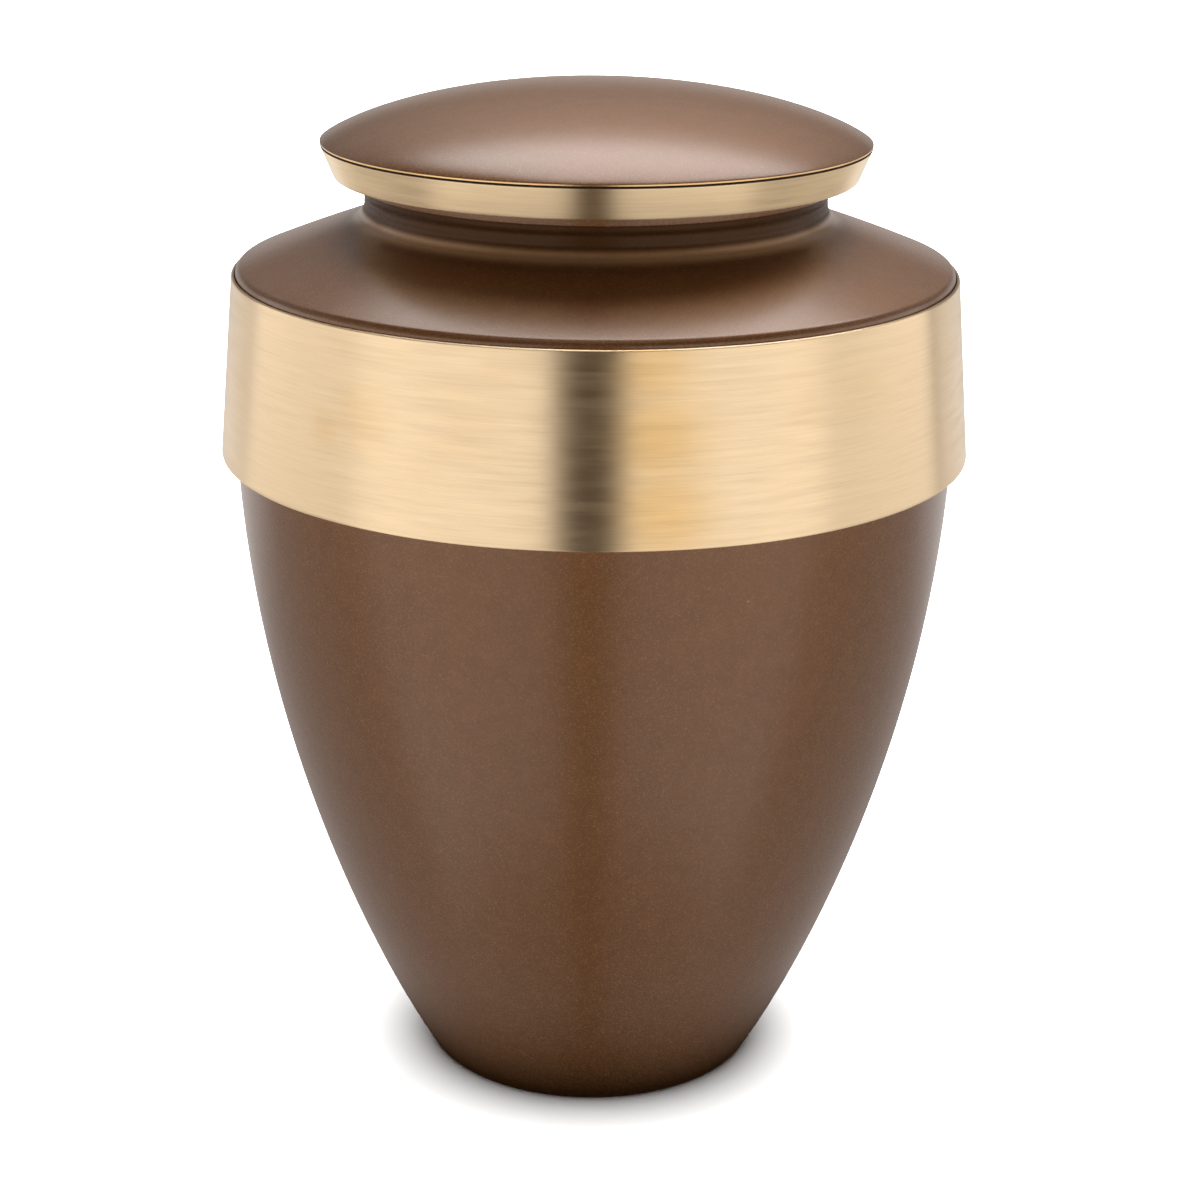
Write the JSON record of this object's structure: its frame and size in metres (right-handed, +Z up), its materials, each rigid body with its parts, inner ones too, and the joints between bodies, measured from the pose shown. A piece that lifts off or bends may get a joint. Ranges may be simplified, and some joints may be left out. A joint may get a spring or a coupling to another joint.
{
  "type": "cremation urn",
  "caption": "Hollow turned cremation urn with a tapering bowl, a flared brass band round its shoulder and a shallow domed lid that lifts off.",
  "frame": {"origin": "centre of the underside, on the surface that the urn stands on", "axes": "+Z up along the axis that every piece is turned about; +X and +Y are alike"},
  "size_m": [0.178, 0.178, 0.2411],
  "materials": {
    "vessel_paint": "satin bronze paint with fine metallic flake",
    "band_brass": "satin brass with fine turned lines round the ring",
    "lid_rim_brass": "satin brass with fine turned lines round the ring",
    "lid_dome_paint": "satin bronze paint with fine metallic flake"
  },
  "bodies": {
    "root": {"vessel": "vessel_paint", "band": "band_brass", "lid_rim": "lid_rim_brass", "lid_dome": "lid_dome_paint"}
  },
  "joints": []
}
